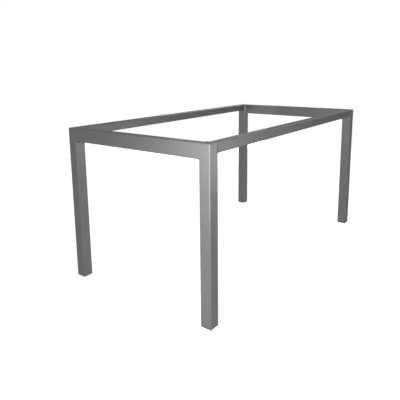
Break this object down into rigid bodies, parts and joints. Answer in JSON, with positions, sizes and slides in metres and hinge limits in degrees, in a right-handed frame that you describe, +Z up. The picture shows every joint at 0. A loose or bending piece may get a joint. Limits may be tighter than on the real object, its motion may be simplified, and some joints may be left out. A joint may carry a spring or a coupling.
{
  "type": "desk frame",
  "caption": "Open rectangular desk frame of painted square steel tube, with straight legs flush at the corners and a rail along each side, for a separate desk top.",
  "frame": {"origin": "on the floor, under the middle of the frame", "axes": "+X along the long rails, +Y across the frame, +Z up from the floor to the desk top"},
  "size_m": [1.5, 0.8, 0.72],
  "materials": {
    "frame_paint": "satin silver-grey metallic powder coat, very fine texture",
    "rail_paint": null,
    "foot_plastic": "matte grey moulded plastic",
    "bare_steel": "plain drawn steel, hidden inside the long rails",
    "zinc_steel": "bright zinc-plated steel"
  },
  "bodies": {
    "root": {"end_rail_left": "frame_paint", "end_rail_right": "frame_paint", "end_weld_back_left": "frame_paint", "end_weld_back_right": "frame_paint", "end_weld_front_left": "frame_paint", "end_weld_front_right": "frame_paint", "foot_back_left": "foot_plastic", "foot_back_right": "foot_plastic", "foot_front_left": "foot_plastic", "foot_front_right": "foot_plastic", "leg_back_left": "frame_paint", "leg_back_right": "frame_paint", "leg_cap_back_left": "frame_paint", "leg_cap_back_right": "frame_paint", "leg_cap_front_left": "frame_paint", "leg_cap_front_right": "frame_paint", "leg_front_left": "frame_paint", "leg_front_right": "frame_paint", "long_rail_back": "rail_paint", "long_rail_front": "rail_paint", "rail_nuts_back": "zinc_steel", "rail_nuts_front": "zinc_steel", "rail_screws_back": "zinc_steel", "rail_screws_front": "zinc_steel", "spigot_back_left": "bare_steel", "spigot_back_right": "bare_steel", "spigot_front_left": "bare_steel", "spigot_front_right": "bare_steel"}
  },
  "joints": []
}
